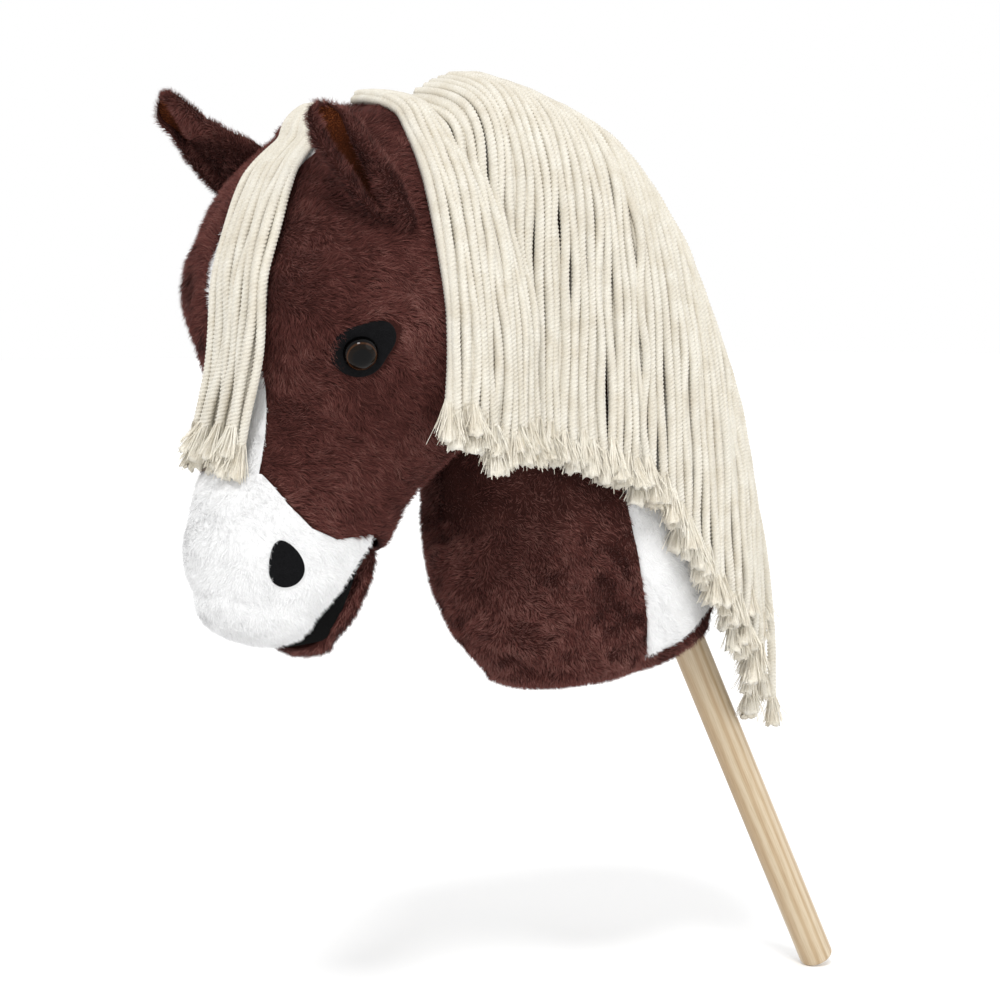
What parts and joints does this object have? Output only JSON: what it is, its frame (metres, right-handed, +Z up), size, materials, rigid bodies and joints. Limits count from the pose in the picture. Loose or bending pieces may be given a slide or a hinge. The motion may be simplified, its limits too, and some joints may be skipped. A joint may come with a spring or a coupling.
{
  "type": "hobby horse",
  "caption": "Stuffed plush horse head and neck on a round wooden stick that a child rides, with a cord mane and forelock, felt patches, glossy eyes and floppy ears.",
  "frame": {"origin": "centre of the flat face at the stick's free end", "axes": "+Z up in the picture, the horse looks along -X, its left side is at -Y, and y = 0 is the middle plane of head, neck and stick"},
  "size_m": [0.6151, 0.2283, 0.7212],
  "materials": {
    "pine": "smooth sanded pine with a thin clear coat",
    "brown_plush": "short dense pile",
    "white_plush": "short dense pile",
    "rust_velvet": "short velvet pile",
    "black_felt": "matte felt",
    "black_cloth": "matte cloth",
    "amber_plastic": "polished, with a black pupil",
    "nylon": "smooth",
    "sleeve_cloth": "plain weave",
    "cotton_cord": "twisted cotton cord with frayed ends",
    "polyester_filling": "loose fibre"
  },
  "bodies": {
    "head_and_stick": {"blaze_and_muzzle": "white_plush", "eye_left": "amber_plastic", "eye_patch_left": "black_felt", "eye_patch_right": "black_felt", "eye_right": "amber_plastic", "eye_washer_left": "nylon", "eye_washer_right": "nylon", "face_panel_left": "brown_plush", "face_panel_right": "brown_plush", "head_stuffing": "polyester_filling", "lower_jaw": "brown_plush", "mane_lock_1": "cotton_cord", "mane_lock_2": "cotton_cord", "mane_lock_3": "cotton_cord", "mane_lock_4": "cotton_cord", "mane_lock_5": "cotton_cord", "mane_lock_6": "cotton_cord", "mane_lock_7": "cotton_cord", "mane_lock_8": "cotton_cord", "mane_lock_9": "cotton_cord", "mane_tape": "cotton_cord", "mouth_lining": "black_cloth", "neck_base": "brown_plush", "neck_panel_left": "brown_plush", "neck_panel_right": "brown_plush", "neck_patch_left": "white_plush", "neck_patch_right": "white_plush", "neck_stuffing": "polyester_filling", "nostril_left": "black_felt", "nostril_right": "black_felt", "stick": "pine", "stick_sleeve": "sleeve_cloth", "stick_tie": "nylon"},
    "ear_left": {"ear_shell_left": "brown_plush", "ear_lining_left": "rust_velvet"},
    "ear_right": {"ear_shell_right": "brown_plush", "ear_lining_right": "rust_velvet"},
    "forelock": {"forelock": "cotton_cord"}
  },
  "joints": [
    {"name": "ear_left_flop", "type": "hinge", "parent": "head_and_stick", "child": "ear_left", "pos_m": [-0.50835, -0.09307, 0.60759], "axis": [0.9498, -0.2593, -0.1753], "range_deg": [-15, 8], "stiffness_Nm_per_rad": 0.15},
    {"name": "ear_right_flop", "type": "hinge", "parent": "head_and_stick", "child": "ear_right", "pos_m": [-0.51271, 0.06864, 0.64419], "axis": [-0.1595, -0.757, 0.6337], "range_deg": [-15, 8], "stiffness_Nm_per_rad": 0.15},
    {"name": "forelock_swing", "type": "hinge", "parent": "head_and_stick", "child": "forelock", "pos_m": [-0.503, 0, 0.67848], "axis": [0, 1, 0], "range_deg": [0, 60]}
  ]
}
